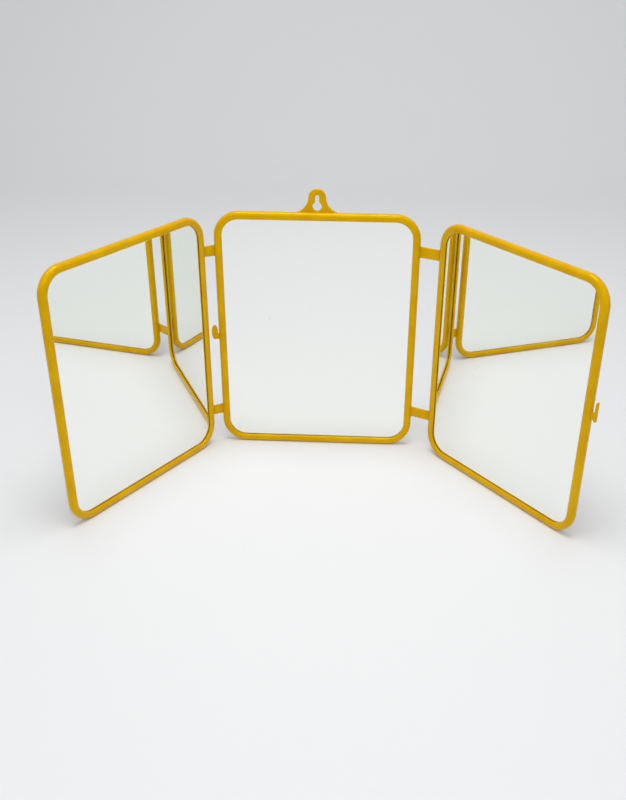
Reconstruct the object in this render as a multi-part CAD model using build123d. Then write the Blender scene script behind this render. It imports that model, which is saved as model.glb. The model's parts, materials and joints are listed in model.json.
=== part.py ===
from build123d import *
import os
import math

# A three-panel folding mirror. Each panel is a moulded bead with a glass mirror and a backing board
# held in its groove. Two flexible straps join each wing to the centre panel.
# +Z is up, the mirrors of the open object face -Y, and the origin is under the middle of the
# centre panel, on the surface that the object stands on.

# Panel
panel_w = 160.0
panel_h = 201.0
corner_r = 20.0

# Bead section: width across the panel's plane, depth through it
bead_w = 6.0
bead_d = 6.2
bead_outer_round = 2.8
bead_inner_round = 2.0

# What the bead's groove holds
glass_t = 1.8
board_t = 1.0
groove_deep = 2.2
edge_play = 0.2

# Straps: the left wing folds in first, and the right wing folds over it. A strap pair's drop is how
# far it stands below the panel's middle.
layer_pitch = 7.7
hinge_gap = 1.0
strap_t = 1.4
strap_h = 8.6
strap_spread = 139.8
left_strap_drop = 1.1
right_strap_drop = -1.1
left_strap_len = layer_pitch
right_strap_len = 2.0 * layer_pitch

# The stored pose: the angle that each wing is folded forward from flat
left_fold = 57.5
right_fold = 51.0

# Hanging tab with a keyhole
tab_t = 2.4
tab_half_base = 15.2
tab_half_neck = 6.75
tab_flare = (9.2, 4.1)
tab_neck_z = 10.5
tab_top_z = 17.6
tab_back = bead_d / 2
key_r = 3.5
key_z = 4.3
key_slot_w = 3.2
key_slot_top = 13.0

# Closing hooks: a broad one on the centre panel's left side, a slim one on the right wing's free side
broad_hook_t = 2.4
broad_hook_r = (2.45, 6.1)
broad_hook_out = 3.35
broad_hook_z = 100.0
broad_stub_h = 5.4
slim_hook_t = 2.0
slim_hook_w = 2.1
slim_hook_h = 15.4
slim_hook_out = 3.5
slim_hook_z = 107.8
slim_stub_h = 5.2
slim_stub_lift = 1.1
root = 1.5

middle_z = panel_h / 2
groove_t = glass_t + board_t
inner_round_r = corner_r - bead_w


def plate(inset, thickness, y_middle=0.0):
    """A flat plate with the panel's outline moved in by inset, standing in the XZ plane."""
    outline = Plane.XZ * RectangleRounded(panel_w - 2 * inset, panel_h - 2 * inset, corner_r - inset)
    return Pos(0, y_middle, middle_z) * extrude(outline, thickness / 2, both=True)


def bead_ring():
    """The moulded frame of one panel: a rounded bead with a groove round its inside."""
    block = plate(0, bead_d)
    loops = block.edges().group_by(Axis.Y)
    block = fillet(loops[0] + loops[-1], bead_outer_round)
    ring = block - plate(bead_w, 2 * bead_d)
    reach = panel_w / 2 - bead_w + 0.01
    inner = ring.edges().filter_by(
        lambda e: abs(abs(e.center().Y) - bead_d / 2) < 0.01
        and max(abs(e.bounding_box().min.X), abs(e.bounding_box().max.X)) < reach
    )
    ring = fillet(inner, bead_inner_round)
    return ring - plate(bead_w - groove_deep, groove_t)


def hanging_tab():
    """The bell-shaped tab on the centre panel's top bar, without its keyhole."""
    foot = -bead_w / 2
    right = Line((tab_half_base, foot), (tab_half_base, 0))
    flare = ThreePointArc((tab_half_base, 0), tab_flare, (tab_half_neck, tab_neck_z))
    crown = ThreePointArc((tab_half_neck, tab_neck_z), (0, tab_top_z), (-tab_half_neck, tab_neck_z))
    flare_left = ThreePointArc(
        (-tab_half_neck, tab_neck_z), (-tab_flare[0], tab_flare[1]), (-tab_half_base, 0)
    )
    left = Line((-tab_half_base, 0), (-tab_half_base, foot))
    base = Line((-tab_half_base, foot), (tab_half_base, foot))
    outline = make_face([right, flare, crown, flare_left, left, base])
    return Pos(0, tab_back, panel_h) * extrude(Plane.XZ * outline, tab_t)


def keyhole():
    """The round hole that a screw head passes, and the slot above it."""
    slot_len = key_slot_top - key_z - key_slot_w / 2
    round_part = Pos(0, key_z) * Circle(key_r)
    slot = Pos(0, key_z + slot_len / 2) * Rectangle(key_slot_w, slot_len)
    slot_end = Pos(0, key_z + slot_len) * Circle(key_slot_w / 2)
    cut = extrude(Plane.XZ * (round_part + slot + slot_end), bead_d, both=True)
    return Pos(0, 0, panel_h) * cut


def broad_hook():
    """A hook that opens upwards, reaching out along +X from a panel's side at X = 0."""
    half_h = broad_hook_r[1]
    prong = Pos(broad_hook_out, 0) * Ellipse(broad_hook_r[0], half_h)
    stub = Pos((broad_hook_out - root) / 2, -half_h + broad_stub_h / 2 + 0.3) * Rectangle(
        broad_hook_out + root, broad_stub_h - 0.6
    )
    body = extrude(Plane.XZ * (prong + stub), broad_hook_t / 2, both=True)
    return Pos(0, 0, broad_hook_z) * body


def slim_hook():
    """The second hook, with a thinner and longer prong."""
    prong = Pos(slim_hook_out, 0) * SlotOverall(slim_hook_h, slim_hook_w, rotation=90)
    stub_z = -slim_hook_h / 2 + slim_stub_lift + slim_stub_h / 2
    stub = Pos((slim_hook_out - root) / 2, stub_z) * Rectangle(slim_hook_out + root, slim_stub_h)
    body = extrude(Plane.XZ * (prong + stub), slim_hook_t / 2, both=True)
    return Pos(0, 0, slim_hook_z) * body


def mirror_glass():
    return plate(bead_w - groove_deep + edge_play, glass_t, (glass_t - groove_t) / 2)


def backing_board():
    return plate(bead_w - groove_deep + edge_play, board_t, (groove_t - board_t) / 2)


def strap(length):
    """One strap, from its first bend at X = 0 to its second at X = length."""
    outline = Pos(length / 2, 0) * SlotCenterToCenter(length, strap_t)
    return extrude(outline, strap_h / 2, both=True)


def wing_bends(side, length, fold):
    """Where a wing's two bends stand, for a strap that takes half of the wing's fold."""
    first = (side * (panel_w / 2 + hinge_gap), 0.0)
    lean = math.radians(fold / 2)
    second = (first[0] + side * length * math.cos(lean), first[1] - length * math.sin(lean))
    return first, second


def place_wing(piece, side, length, fold):
    """Moves a piece of a panel, made round X = 0, to its wing."""
    second = wing_bends(side, length, fold)[1]
    return (
        Pos(second[0], second[1], 0)
        * Rot(0, 0, -side * fold)
        * Pos(side * (hinge_gap + panel_w / 2), 0, 0)
        * piece
    )


def place_strap(side, length, fold, z):
    first = wing_bends(side, length, fold)[0]
    heading = -fold / 2 if side > 0 else 180 + fold / 2
    return Pos(first[0], first[1], z) * Rot(0, 0, heading) * strap(length)


def save(shape, node):
    export_step(shape, f"parts/{node}.step")


os.makedirs("parts", exist_ok=True)

ring = bead_ring()
hook_on_left = Pos(-panel_w / 2, 0, 0) * Rot(0, 0, 180) * broad_hook()
save(ring + hanging_tab() - keyhole() + hook_on_left, "centre_frame")
save(mirror_glass(), "centre_mirror")
save(backing_board(), "centre_backing")

wings = (
    ("left", -1, left_strap_len, left_fold, ring),
    ("right", 1, right_strap_len, right_fold, ring + Pos(panel_w / 2, 0, 0) * slim_hook()),
)
strap_drop = {"left": left_strap_drop, "right": right_strap_drop}
straps = (("upper", middle_z + strap_spread / 2), ("lower", middle_z - strap_spread / 2))
for name, side, length, fold, frame in wings:
    save(place_wing(frame, side, length, fold), f"{name}_frame")
    save(place_wing(mirror_glass(), side, length, fold), f"{name}_mirror")
    save(place_wing(backing_board(), side, length, fold), f"{name}_backing")
    for level, z in straps:
        save(place_strap(side, length, fold, z - strap_drop[name]), f"{name}_{level}_strap")
    for bend, place in zip(("first", "second"), wing_bends(side, length, fold)):
        print(name, bend, "bend at", [round(v, 5) for v in place])
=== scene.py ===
"""Looks of the three-panel folding mirror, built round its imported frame. Lengths are in metres."""

import json
import math

import bmesh
import bpy
from mathutils import Matrix, Vector


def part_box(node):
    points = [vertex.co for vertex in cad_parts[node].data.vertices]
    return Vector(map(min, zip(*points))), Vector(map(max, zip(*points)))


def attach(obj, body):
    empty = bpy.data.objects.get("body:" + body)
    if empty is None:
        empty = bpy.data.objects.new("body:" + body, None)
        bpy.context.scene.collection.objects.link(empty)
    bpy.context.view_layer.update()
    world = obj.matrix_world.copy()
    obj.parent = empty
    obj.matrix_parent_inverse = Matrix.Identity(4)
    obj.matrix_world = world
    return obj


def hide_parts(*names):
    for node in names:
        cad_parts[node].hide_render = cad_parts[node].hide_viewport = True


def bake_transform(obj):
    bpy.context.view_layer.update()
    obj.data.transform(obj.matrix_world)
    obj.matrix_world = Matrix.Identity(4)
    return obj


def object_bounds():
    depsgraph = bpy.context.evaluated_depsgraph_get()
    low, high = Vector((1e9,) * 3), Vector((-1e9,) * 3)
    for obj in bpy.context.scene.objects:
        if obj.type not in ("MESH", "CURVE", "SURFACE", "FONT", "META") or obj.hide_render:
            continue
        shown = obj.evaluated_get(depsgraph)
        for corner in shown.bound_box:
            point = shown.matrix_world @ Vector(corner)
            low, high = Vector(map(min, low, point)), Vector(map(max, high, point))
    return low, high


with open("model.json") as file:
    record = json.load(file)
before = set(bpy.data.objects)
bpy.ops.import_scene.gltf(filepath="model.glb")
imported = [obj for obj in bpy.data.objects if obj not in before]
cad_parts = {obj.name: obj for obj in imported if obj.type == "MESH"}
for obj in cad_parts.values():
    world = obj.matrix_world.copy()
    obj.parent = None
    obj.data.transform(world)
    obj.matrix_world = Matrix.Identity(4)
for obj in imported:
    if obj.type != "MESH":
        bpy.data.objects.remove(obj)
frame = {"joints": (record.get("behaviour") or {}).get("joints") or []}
cad_low, cad_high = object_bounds()

MM = 0.001

# The panel, read from the frame
PANEL_HALF_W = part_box("centre_frame")[1].x
PANEL_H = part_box("left_frame")[1].z
BEAD_HALF_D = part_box("centre_frame")[1].y
PANE_LOW, PANE_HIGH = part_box("centre_mirror")
BOARD_LOW, BOARD_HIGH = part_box("centre_backing")
PANE_PLAY = 0.5 * MM
BOARD_PLAY = 0.05 * MM

# The bead's section and the groove inside it
CORNER_R = 20 * MM
BEAD_W = 6 * MM
GROOVE_DEEP = 2.2 * MM
OUTER_ROUND = 2.8 * MM
INNER_ROUND = 1.5 * MM
GROOVE_FRONT = PANE_LOW.y
GROOVE_BACK = BOARD_HIGH.y

# Hanging tab and keyhole, as heights above the panel's top and distances from its middle
TAB_T = 2.4 * MM
TAB_HALF_BASE = 15.2 * MM
TAB_HALF_NECK = 6.75 * MM
TAB_FLARE = (9.2 * MM, 4.1 * MM)
TAB_NECK_Z = 10.5 * MM
TAB_TOP_Z = cad_high.z - PANEL_H
TAB_FOOT = 2.7 * MM
TAB_RIM = 0.5 * MM
KEY_R = 3.5 * MM
KEY_Z = 4.3 * MM
KEY_SLOT_R = 1.6 * MM
KEY_SLOT_TOP = 13 * MM

# Closing hooks, as distances out from the panel's side and heights about the hook's own middle
HOOK_ROOT = 1.8 * MM
HOOK_RIM = 0.45 * MM
BROAD_T = 2.4 * MM
BROAD_OUT = 3.35 * MM
BROAD_R = (2.45 * MM, 6.1 * MM)
BROAD_Z = 100 * MM
BROAD_NOTCH_R = 0.48 * MM
BROAD_NOTCH_Z = -0.75 * MM
SLIM_T = 2.0 * MM
SLIM_OUT = 3.5 * MM
SLIM_HALF_W = 0.95 * MM
SLIM_HALF_H = 7.7 * MM
SLIM_Z = 107.8 * MM
SLIM_STUB_LIFT = 1.1 * MM
SLIM_NOTCH = (1.25 * MM, -0.2 * MM)
SLIM_NOTCH_R = 1.1 * MM

# Straps
STRAP_T = 1.4 * MM
STRAP_RIM = 0.4 * MM
BEND_REACH = 2.4 * MM
ROOT_IN_BEAD = 2.2 * MM
FLARE_RUN = 1.5 * MM
FLARE_RISE = 0.9 * MM
STRAP_STEP = 0.3 * MM

JOINTS = {joint["name"]: joint for joint in frame["joints"]}
SIDES = ("left", "right")


# Shaping


def new_piece(name, bm, materials):
    """Turns a finished bmesh into a piece with the given materials."""
    mesh = bpy.data.meshes.new(name)
    bm.to_mesh(mesh)
    bm.free()
    piece = bpy.data.objects.new(name, mesh)
    bpy.context.scene.collection.objects.link(piece)
    for material in materials:
        mesh.materials.append(material)
    return piece


def shade(bm, sharp_deg=35):
    """Smooth shading; edges sharper than the given angle are crisp, and so are those marked before."""
    for face in bm.faces:
        face.smooth = True
    for edge in bm.edges:
        if len(edge.link_faces) == 2 and edge.calc_face_angle() > math.radians(sharp_deg):
            edge.smooth = False


def keep_flat(faces):
    """Marks the outline of a flat region, so that rounded rims don't bend its shading."""
    inside = set(faces)
    for face in faces:
        for edge in face.edges:
            if sum(f in inside for f in edge.link_faces) == 1:
                edge.smooth = False


def arc(centre, radius, start_deg, end_deg, steps):
    """Points along an arc; the radius is one number, or one across and one up."""
    across, up = radius if isinstance(radius, tuple) else (radius, radius)
    turns = [math.radians(start_deg + (end_deg - start_deg) * k / steps) for k in range(steps + 1)]
    return [(centre[0] + across * math.cos(a), centre[1] + up * math.sin(a)) for a in turns]


def arc_through(first, middle, last, steps):
    """Points along the circular arc through three points."""
    a, b, c = (Vector(p) for p in (first, middle, last))
    double = 2 * (b - a).cross(c - a)
    across = (a.dot(a) * (b.y - c.y) + b.dot(b) * (c.y - a.y) + c.dot(c) * (a.y - b.y)) / double
    up = (a.dot(a) * (c.x - b.x) + b.dot(b) * (a.x - c.x) + c.dot(c) * (b.x - a.x)) / double
    centre = Vector((across, up))
    start, end = (math.atan2(p.y - up, p.x - across) for p in (a, c))
    sweep = (end - start) % math.tau if double > 0 else -((start - end) % math.tau)
    return arc(
        centre, (a - centre).length, math.degrees(start), math.degrees(start + sweep), steps
    )


def closed_loop(bm, points):
    """A loop of edges through points given as (across, up), standing in the XZ plane."""
    corners = [bm.verts.new((x, 0, z)) for x, z in points]
    for k in range(len(corners)):
        bm.edges.new((corners[k - 1], corners[k]))


def round_corners(bm, corners, size, segments):
    """Rounds the given corner vertices of a flat outline."""
    bmesh.ops.bevel(
        bm, geom=corners, offset=size, offset_type="OFFSET", segments=segments,
        profile=0.5, affect="VERTICES", material=-1,
    )


def thicken(bm, vec):
    """Extrudes every face by vec, and returns the faces of the first cap and of the second."""
    first = list(bm.faces)
    grown = bmesh.ops.extrude_face_region(bm, geom=first, use_keep_orig=True)["geom"]
    moved = [v for v in grown if isinstance(v, bmesh.types.BMVert)]
    second = [f for f in grown if isinstance(f, bmesh.types.BMFace)]
    bmesh.ops.translate(bm, verts=moved, vec=vec)
    bmesh.ops.recalc_face_normals(bm, faces=bm.faces)
    return first, second


def plate(outlines, y_front, y_back, rim, rim_steps=4):
    """A flat plate with rounded rims; the outlines after the first are holes."""
    bm = bmesh.new()
    for outline in outlines:
        closed_loop(bm, outline)
    bmesh.ops.remove_doubles(bm, verts=bm.verts, dist=1e-6)
    bmesh.ops.triangle_fill(bm, use_beauty=True, edges=bm.edges)
    bmesh.ops.translate(bm, verts=bm.verts, vec=(0, y_front + rim, 0))
    for cap in thicken(bm, (0, y_back - y_front - 2 * rim, 0)):
        for k in range(rim_steps):
            low, high = (math.radians(90 * n / rim_steps) for n in (k, k + 1))
            bmesh.ops.inset_region(
                bm, faces=cap, thickness=rim * (math.cos(low) - math.cos(high)),
                depth=rim * (math.sin(high) - math.sin(low)), use_even_offset=True,
                use_boundary=True,
            )
        keep_flat(cap)
    return bm


def slab(low, high, corner, arris):
    """A plate with rounded corners and bevelled rims that fills the box from low to high."""
    bm = bmesh.new()
    outline = ((low.x, low.z), (high.x, low.z), (high.x, high.z), (low.x, high.z))
    corners = [bm.verts.new((x, low.y, z)) for x, z in outline]
    bm.faces.new(corners)
    round_corners(bm, corners, corner, 14)
    thicken(bm, (0, high.y - low.y, 0))
    rims = [e for e in bm.edges if abs(e.verts[0].co.y - e.verts[1].co.y) < 1e-7]
    bmesh.ops.bevel(
        bm, geom=rims, offset=arris, offset_type="OFFSET", segments=3,
        profile=0.5, affect="EDGES", clamp_overlap=True, material=-1,
    )
    for face in bm.faces:
        if abs(face.normal.y) > 0.9999:
            keep_flat([face])
    return bm


def place(bm, matrix):
    bmesh.ops.transform(bm, matrix=matrix, verts=bm.verts)
    return bm


# Placement of the wings and straps, from the frame's joints


def side_sign(side):
    return {"left": -1, "centre": 0, "right": 1}[side]


def body_of_panel(side):
    return "centre" if side == "centre" else f"{side}_wing"


def pivot(joint_name):
    spot = JOINTS[joint_name]["pos_m"]
    return Vector((spot[0], spot[1], 0))


def rest_lean(joint_name):
    """How far a joint stands from the flat pose at rest, in radians about +Z."""
    joint = JOINTS[joint_name]
    return -math.radians(joint["range_deg"][0]) * joint["axis"][2]


def turn_about(spot, angle):
    return Matrix.Translation(spot) @ Matrix.Rotation(angle, 4, "Z") @ Matrix.Translation(-spot)


def panel_matrix(side):
    """Takes a panel built round X = 0 to its place at rest."""
    if side == "centre":
        return Matrix.Identity(4)
    gap = abs(pivot(f"{side}_strap_bend").x) - PANEL_HALF_W
    fold = rest_lean(f"{side}_strap_bend") + rest_lean(f"{side}_wing_bend")
    inner_side = Matrix.Translation((side_sign(side) * (gap + PANEL_HALF_W), 0, 0))
    second = Matrix.Translation(pivot(f"{side}_wing_bend"))
    return second @ Matrix.Rotation(fold, 4, "Z") @ inner_side


# The bead


def bead_section(bm):
    """The closed edge loop of the bead's section on the plane X = 0, at the bottom bar."""
    outline = ((-BEAD_HALF_D, 0), (BEAD_HALF_D, 0), (BEAD_HALF_D, BEAD_W), (-BEAD_HALF_D, BEAD_W))
    corners = [bm.verts.new((0, y, z)) for y, z in outline]
    bm.faces.new(corners)
    round_corners(bm, corners[:2], OUTER_ROUND, 12)
    inner = [v for v in bm.verts if v.co.z > BEAD_W - 1e-6]
    round_corners(bm, inner, INNER_ROUND, 10)
    for spot, normal in (
        ((0, GROOVE_FRONT, 0), (0, 1, 0)), ((0, GROOVE_BACK, 0), (0, 1, 0)),
        ((0, 0, BEAD_W - GROOVE_DEEP), (0, 0, 1)),
    ):
        bmesh.ops.bisect_plane(
            bm, geom=[*bm.verts, *bm.edges, *bm.faces], plane_co=spot, plane_no=normal, dist=1e-7,
        )
    middles = {f: f.calc_center_median() for f in bm.faces}
    groove = [
        f for f, m in middles.items()
        if GROOVE_FRONT < m.y < GROOVE_BACK and m.z > BEAD_W - GROOVE_DEEP
    ]
    bmesh.ops.delete(bm, geom=groove, context="FACES")
    inside = [e for e in bm.edges if len(e.link_faces) > 1]
    bmesh.ops.delete(bm, geom=inside, context="EDGES_FACES")
    bmesh.ops.delete(bm, geom=list(bm.faces), context="FACES_ONLY")
    return list(bm.edges)


def run_straight(bm, loop, vec, steps):
    """Carries an edge loop along a straight, and returns the loop at its end."""
    for _ in range(steps):
        grown = bmesh.ops.extrude_edge_only(bm, edges=loop)["geom"]
        ends = [g for g in grown if isinstance(g, bmesh.types.BMVert)]
        bmesh.ops.translate(bm, verts=ends, vec=Vector(vec) / steps)
        loop = [g for g in grown if isinstance(g, bmesh.types.BMEdge)]
    return loop


def run_corner(bm, loop, centre, steps=16):
    """Carries an edge loop a quarter turn round a corner of the panel."""
    turned = bmesh.ops.spin(
        bm, geom=loop, cent=centre, axis=(0, -1, 0), angle=math.radians(90), steps=steps,
        use_merge=False, use_duplicate=False,
    )["geom_last"]
    return [g for g in turned if isinstance(g, bmesh.types.BMEdge)]


def bead():
    """The moulded bead of one panel, round X = 0, with its bottom on Z = 0."""
    bm = bmesh.new()
    across = PANEL_HALF_W - CORNER_R
    top = PANEL_H - CORNER_R
    loop = bead_section(bm)
    bmesh.ops.translate(bm, verts=bm.verts, vec=(-across, 0, 0))
    loop = run_straight(bm, loop, (2 * across, 0, 0), 12)
    loop = run_corner(bm, loop, (across, 0, CORNER_R))
    loop = run_straight(bm, loop, (0, 0, top - CORNER_R), 16)
    loop = run_corner(bm, loop, (across, 0, top))
    loop = run_straight(bm, loop, (-2 * across, 0, 0), 12)
    loop = run_corner(bm, loop, (-across, 0, top))
    loop = run_straight(bm, loop, (0, 0, CORNER_R - top), 16)
    run_corner(bm, loop, (-across, 0, CORNER_R))
    bmesh.ops.remove_doubles(bm, verts=bm.verts, dist=1e-6)
    bmesh.ops.recalc_face_normals(bm, faces=bm.faces)
    return bm


# What is moulded on the beads


def hanging_tab():
    """The bell-shaped tab with its keyhole, on the centre panel's top bar."""
    neck = (TAB_HALF_NECK, TAB_NECK_Z)
    right = arc_through((TAB_HALF_BASE, 0), TAB_FLARE, neck, 12)
    crown = arc_through(neck, (0, TAB_TOP_Z), (-TAB_HALF_NECK, TAB_NECK_Z), 28)
    left = [(-x, z) for x, z in reversed(right)]
    foot = [(-TAB_HALF_BASE, -TAB_FOOT), (TAB_HALF_BASE, -TAB_FOOT)]
    throat = math.degrees(math.asin(KEY_SLOT_R / KEY_R))
    hole = arc((0, KEY_Z), KEY_R, 90 + throat, 450 - throat, 28)
    slot = arc((0, KEY_SLOT_TOP - KEY_SLOT_R), KEY_SLOT_R, 0, 180, 12)
    outlines = ([*right, *crown[1:-1], *left, *foot], [*hole, *slot])
    bm = plate(outlines, BEAD_HALF_D - TAB_T, BEAD_HALF_D, TAB_RIM)
    return place(bm, Matrix.Translation((0, 0, PANEL_H)))


def broad_hook():
    """The centre panel's hook, reaching out along +X: a leaf on a broad stub, open at its top."""
    leaf = arc((BROAD_OUT, 0), BROAD_R, -110, 187, 44)
    notch = arc((BROAD_NOTCH_R, BROAD_NOTCH_Z), BROAD_NOTCH_R, 0, -180, 8)
    outline = [(-HOOK_ROOT, BROAD_NOTCH_Z), (-HOOK_ROOT, leaf[0][1]), *leaf, *notch[1:]]
    bm = plate((outline,), -BROAD_T / 2, BROAD_T / 2, HOOK_RIM)
    return place(bm, Matrix.Translation((0, 0, BROAD_Z)))


def slim_hook():
    """The right wing's hook: a thin prong on a stub, eased at its inner tip."""
    stub_z = -SLIM_HALF_H + SLIM_STUB_LIFT
    foot = arc((SLIM_OUT, -SLIM_HALF_H + SLIM_HALF_W), SLIM_HALF_W, 200, 360, 10)
    tip_r = 0.8 * SLIM_HALF_W
    tip = arc((SLIM_OUT + SLIM_HALF_W - tip_r, SLIM_HALF_H - tip_r), tip_r, 0, 125, 8)
    eased = (SLIM_OUT - SLIM_HALF_W, SLIM_HALF_H - 2.6 * tip_r)
    notch = arc(SLIM_NOTCH, SLIM_NOTCH_R, 0, -180, 10)
    stub = [(-HOOK_ROOT, SLIM_NOTCH[1]), (-HOOK_ROOT, stub_z), (foot[0][0] - 0.5 * MM, stub_z)]
    bm = plate(([*stub, *foot, *tip, eased, *notch],), -SLIM_T / 2, SLIM_T / 2, HOOK_RIM)
    return place(bm, Matrix.Translation((0, 0, SLIM_Z)))


# Straps


def smooth_share(x, start, end):
    share = min(max((x - start) / (end - start), 0), 1)
    return share * share * (3 - 2 * share)


def strap_run(x_from, x_to, root_x, tip_x, half_h):
    """A stretch of a strap lying flat along X, which flares where it meets the two beads."""
    bm = bmesh.new()
    half_t = STRAP_T / 2
    outline = ((-half_t, -half_h), (half_t, -half_h), (half_t, half_h), (-half_t, half_h))
    corners = [bm.verts.new((x_from, y, z)) for y, z in outline]
    bm.faces.new(corners)
    round_corners(bm, corners, STRAP_RIM, 4)
    steps = round(abs(x_to - x_from) / STRAP_STEP)
    end = list(bm.faces)
    for k in range(steps):
        grown = bmesh.ops.extrude_face_region(bm, geom=end, use_keep_orig=k == 0)["geom"]
        moved = [v for v in grown if isinstance(v, bmesh.types.BMVert)]
        end = [f for f in grown if isinstance(f, bmesh.types.BMFace)]
        bmesh.ops.translate(bm, verts=moved, vec=((x_to - x_from) / steps, 0, 0))
    for v in bm.verts:
        between = min(root_x, tip_x) < v.co.x < max(root_x, tip_x)
        off = min(abs(v.co.x - root_x), abs(v.co.x - tip_x)) if between else 0
        near = max(1 - off / FLARE_RUN, 0)
        v.co.z *= 1 + FLARE_RISE / half_h * (1 - math.sqrt(1 - near**2))
    bmesh.ops.recalc_face_normals(bm, faces=bm.faces)
    return bm


def bend_strap(bm, spot, angle, reach):
    """Turns each point of a flat strap about a pivot by its share of the angle."""
    for v in bm.verts:
        share = smooth_share(v.co.x, spot.x - reach, spot.x + reach)
        v.co = spot + Matrix.Rotation(angle * share, 3, "Z") @ (v.co - spot)


def add_strap(side, level):
    """One strap as two stretches that meet at the link's middle, each bent about its own joint by that
    joint's rest angle.
    """
    low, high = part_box(f"{side}_{level}_strap")
    half_h = (high.z - low.z) / 2
    first, second = pivot(f"{side}_strap_bend"), pivot(f"{side}_wing_bend")
    lean_first, lean_second = rest_lean(f"{side}_strap_bend"), rest_lean(f"{side}_wing_bend")
    sign = side_sign(side)
    gap = sign * (abs(first.x) - PANEL_HALF_W)
    second_flat = first + Vector((sign * (second - first).length, 0, 0))
    root_x, tip_x = first.x - gap, second_flat.x + gap
    middle_x = (first.x + second_flat.x) / 2
    sunk, reach = sign * ROOT_IN_BEAD, sign * BEND_REACH
    stretches = (
        ("root", (root_x - sunk, middle_x), first, first, 0, lean_first,
         ("centre", f"{side}_straps")),
        ("tip", (middle_x, tip_x + sunk), second_flat, second, lean_first, lean_second,
         (f"{side}_straps", f"{side}_wing")),
    )
    for name, ends, bend, spot, heading, lean, bodies in stretches:
        bm = strap_run(*ends, root_x, tip_x, half_h)
        bend_strap(bm, bend, lean, reach)
        place(bm, turn_about(first, heading))
        place(bm, Matrix.Translation((0, 0, low.z + half_h)))
        shade(bm)
        piece = new_piece(f"{side}_{level}_strap_{name}", bm, [YELLOW])
        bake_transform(piece)
        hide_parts(f"{side}_{level}_strap")


# Materials


def new_material(name, base, roughness, metallic=0.0):
    material = bpy.data.materials.new(name)
    material.use_nodes = True
    shader = material.node_tree.nodes["Principled BSDF"]
    shader.inputs["Base Color"].default_value = (*base, 1)
    shader.inputs["Roughness"].default_value = roughness
    shader.inputs["Metallic"].default_value = metallic
    return material, shader


def node(material, kind, **inputs):
    made = material.node_tree.nodes.new(kind)
    for name, value in inputs.items():
        made.inputs[name].default_value = value
    return made


def join(material, out, into):
    material.node_tree.links.new(out, into)


def on_piece(material, kind, stretch=(1, 1, 1), **inputs):
    """A texture on the piece's own coordinates."""
    coords = node(material, "ShaderNodeTexCoord")
    mapping = node(material, "ShaderNodeMapping", Scale=stretch)
    texture = node(material, kind, **inputs)
    join(material, coords.outputs["Object"], mapping.inputs["Vector"])
    join(material, mapping.outputs["Vector"], texture.inputs["Vector"])
    return texture


def spread(material, out, low, high, from_low=0.3, from_high=0.7):
    """Maps a texture's useful middle to a range."""
    ranged = node(material, "ShaderNodeMapRange")
    for name, value in (
        ("From Min", from_low), ("From Max", from_high), ("To Min", low), ("To Max", high)
    ):
        ranged.inputs[name].default_value = value
    join(material, out, ranged.inputs["Value"])
    return ranged.outputs["Result"]


def tint(material, shader, factor, dark, light):
    """Varies the base colour between two colours."""
    mix = node(material, "ShaderNodeMix")
    mix.data_type = "RGBA"
    mix.inputs["A"].default_value = (*dark, 1)
    mix.inputs["B"].default_value = (*light, 1)
    join(material, factor, mix.inputs["Factor"])
    join(material, mix.outputs["Result"], shader.inputs["Base Color"])


def relief(material, shader, height, depth, strength=1.0):
    bump = node(material, "ShaderNodeBump", Strength=strength, Distance=depth)
    join(material, height, bump.inputs["Height"])
    join(material, bump.outputs["Normal"], shader.inputs["Normal"])


def moulded_yellow():
    """Satin moulded plastic: cloudy in colour, with faint flow waves and handling marks."""
    material, shader = new_material("moulded_yellow", (0.84, 0.49, 0.002), 0.3)
    clouds = on_piece(material, "ShaderNodeTexNoise", Scale=60, Detail=3)
    tint(
        material, shader, spread(material, clouds.outputs["Fac"], 0, 1),
        (0.69, 0.36, 0.0), (0.77, 0.435, 0.001),
    )
    rubs = on_piece(material, "ShaderNodeTexNoise", (1, 1, 0.35), Scale=180, Detail=4)
    join(material, spread(material, rubs.outputs["Fac"], 0.11, 0.2), shader.inputs["Roughness"])
    waves = on_piece(material, "ShaderNodeTexNoise", Scale=140, Detail=2)
    relief(material, shader, waves.outputs["Fac"], 0.06 * MM, 0.5)
    shader.inputs["Specular IOR Level"].default_value = 0.5
    shader.inputs["Specular Tint"].default_value = (1.0, 0.95, 0.05, 1)
    return material


def silvered_glass():
    """Silvered glass: a pale green cast, a thin haze of smears, and a few specks of lost silver."""
    material, shader = new_material("silvered_glass", (0.91, 0.925, 0.905), 0.0, 1.0)
    smears = on_piece(material, "ShaderNodeTexNoise", (1, 1, 0.5), Scale=30, Detail=4)
    join(material, spread(material, smears.outputs["Fac"], 0.0, 0.03), shader.inputs["Roughness"])
    specks = on_piece(material, "ShaderNodeTexVoronoi", Scale=60, Randomness=1.0)
    tint(
        material, shader, spread(material, specks.outputs["Distance"], 0, 1, 0.012, 0.03),
        (0.5, 0.49, 0.45), (0.91, 0.925, 0.905),
    )
    return material


def grey_board():
    """Pressed grey board: fine fibres, and faint clouds where the pulp is thicker."""
    material, shader = new_material("grey_board", (0.42, 0.4, 0.36), 0.9)
    fibres = on_piece(material, "ShaderNodeTexNoise", (1, 1, 0.4), Scale=1500, Detail=6)
    clouds = on_piece(material, "ShaderNodeTexNoise", Scale=45, Detail=4)
    blend = node(material, "ShaderNodeMath")
    blend.operation = "MULTIPLY_ADD"
    blend.inputs[1].default_value = 0.6
    join(material, clouds.outputs["Fac"], blend.inputs[0])
    join(material, spread(material, fibres.outputs["Fac"], 0, 0.4), blend.inputs[2])
    tint(
        material, shader, spread(material, blend.outputs["Value"], 0, 1, 0.2, 0.8),
        (0.355, 0.335, 0.3), (0.46, 0.44, 0.4),
    )
    relief(material, shader, fibres.outputs["Fac"], 0.05 * MM)
    return material


YELLOW = moulded_yellow()
SILVER = silvered_glass()
BOARD = grey_board()


# Pieces


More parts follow.
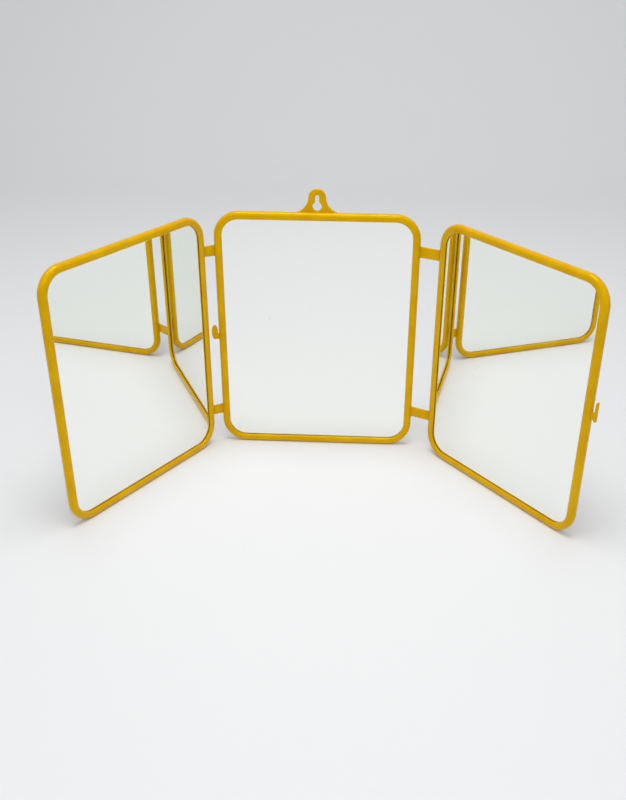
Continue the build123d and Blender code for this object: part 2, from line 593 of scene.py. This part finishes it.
def add_rigid(side, name, bm, materials, cad_name):
    """A piece that rides with one panel, brought from X = 0 to the panel's place."""
    place(bm, panel_matrix(side))
    shade(bm)
    piece = new_piece(f"{side}_{name}", bm, materials)
    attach(piece, body_of_panel(side))
    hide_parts(f"{side}_{cad_name}")


def add_panel(side):
    """A panel's bead, with the pane and the board that it holds."""
    corner = CORNER_R - (PANEL_HALF_W - PANE_HIGH.x)
    pane = slab(PANE_LOW + Vector((0, PANE_PLAY, 0)), PANE_HIGH, corner, 0.25 * MM)
    board = slab(BOARD_LOW + Vector((0, BOARD_PLAY, 0)), BOARD_HIGH, corner, 0.1 * MM)
    add_rigid(side, "bead", bead(), [YELLOW], "frame")
    add_rigid(side, "pane", pane, [SILVER], "mirror")
    add_rigid(side, "board", board, [BOARD], "backing")


def add_fittings():
    left_side = Matrix.Translation((-PANEL_HALF_W, 0, 0)) @ Matrix.Rotation(math.pi, 4, "Z")
    right_side = Matrix.Translation((PANEL_HALF_W, 0, 0))
    for side, name, bm in (
        ("centre", "hanging_tab", hanging_tab()),
        ("centre", "broad_hook", place(broad_hook(), left_side)),
        ("right", "slim_hook", place(slim_hook(), right_side)),
    ):
        add_rigid(side, name, bm, [YELLOW], "frame")


for panel in ("centre", *SIDES):
    add_panel(panel)
add_fittings()
for wing in SIDES:
    for row in ("upper", "lower"):
        add_strap(wing, row)


# Stage, light and camera


def add_stage():
    """A paper floor that curves up into a backdrop."""
    bm = bmesh.new()
    half_w, front, bend_y, bend_r, height = 40.0, -40.0, 0.75, 0.35, 3.0
    ends = [bm.verts.new((x, front, 0)) for x in (-half_w, half_w)]
    loop = run_straight(bm, [bm.edges.new(ends)], (0, bend_y - front, 0), 1)
    loop = [e for e in loop if abs(e.verts[0].co.y - e.verts[1].co.y) < 1e-6]
    curve = bmesh.ops.spin(
        bm, geom=loop, cent=(0, bend_y, bend_r), axis=(1, 0, 0), angle=math.radians(90), steps=32,
        use_duplicate=False,
    )["geom_last"]
    run_straight(bm, [g for g in curve if isinstance(g, bmesh.types.BMEdge)], (0, 0, height), 1)
    shade(bm, 180)
    material, _ = new_material("stage_paper", (0.86, 0.865, 0.87), 0.8)
    new_piece("stage", bm, [material])


def add_light(name, spot, aim, size, watts, colour=(1, 1, 1)):
    data = bpy.data.lights.new(name, "AREA")
    data.shape = "SQUARE"
    data.size = size
    data.energy = watts
    data.color = colour
    light = bpy.data.objects.new(name, data)
    light.location = spot
    light.rotation_euler = (Vector(aim) - Vector(spot)).to_track_quat("-Z", "Y").to_euler()
    bpy.context.scene.collection.objects.link(light)


def add_camera():
    data = bpy.data.cameras.new("camera")
    data.lens = 43.386
    data.shift_x = -0.0138
    data.shift_y = 0.0512
    camera = bpy.data.objects.new("camera", data)
    heading = Matrix.Rotation(math.radians(2.796), 4, "Z")
    tilt = Matrix.Rotation(math.radians(90 - 30.293), 4, "X")
    roll = Matrix.Rotation(math.radians(0.363), 4, "Z")
    spot = Matrix.Translation((0.04158, -0.71946, 0.42092))
    camera.matrix_world = spot @ heading @ tilt @ roll
    bpy.context.scene.collection.objects.link(camera)
    bpy.context.scene.camera = camera


def light_world(low, high):
    """Soft light all round, which grows from the horizon to the zenith."""
    world = bpy.data.worlds.new("studio")
    world.use_nodes = True
    background = world.node_tree.nodes["Background"]
    background.inputs["Color"].default_value = (0.98, 0.99, 1.0, 1)
    coords = node(world, "ShaderNodeTexCoord")
    parts = node(world, "ShaderNodeSeparateXYZ")
    join(world, coords.outputs["Generated"], parts.inputs["Vector"])
    join(world, spread(world, parts.outputs["Z"], low, high, 0, 0.8), background.inputs["Strength"])
    bpy.context.scene.world = world


add_stage()
add_light("overhead", (0, -0.12, 1.1), (0, -0.12, 0), 0.6, 6.3)
add_light("front", (0.15, -1.0, 0.8), (0, 0, 0.12), 0.3, 1.3)
add_camera()
light_world(0.52, 0.52)
bpy.context.scene.view_settings.view_transform = "Standard"
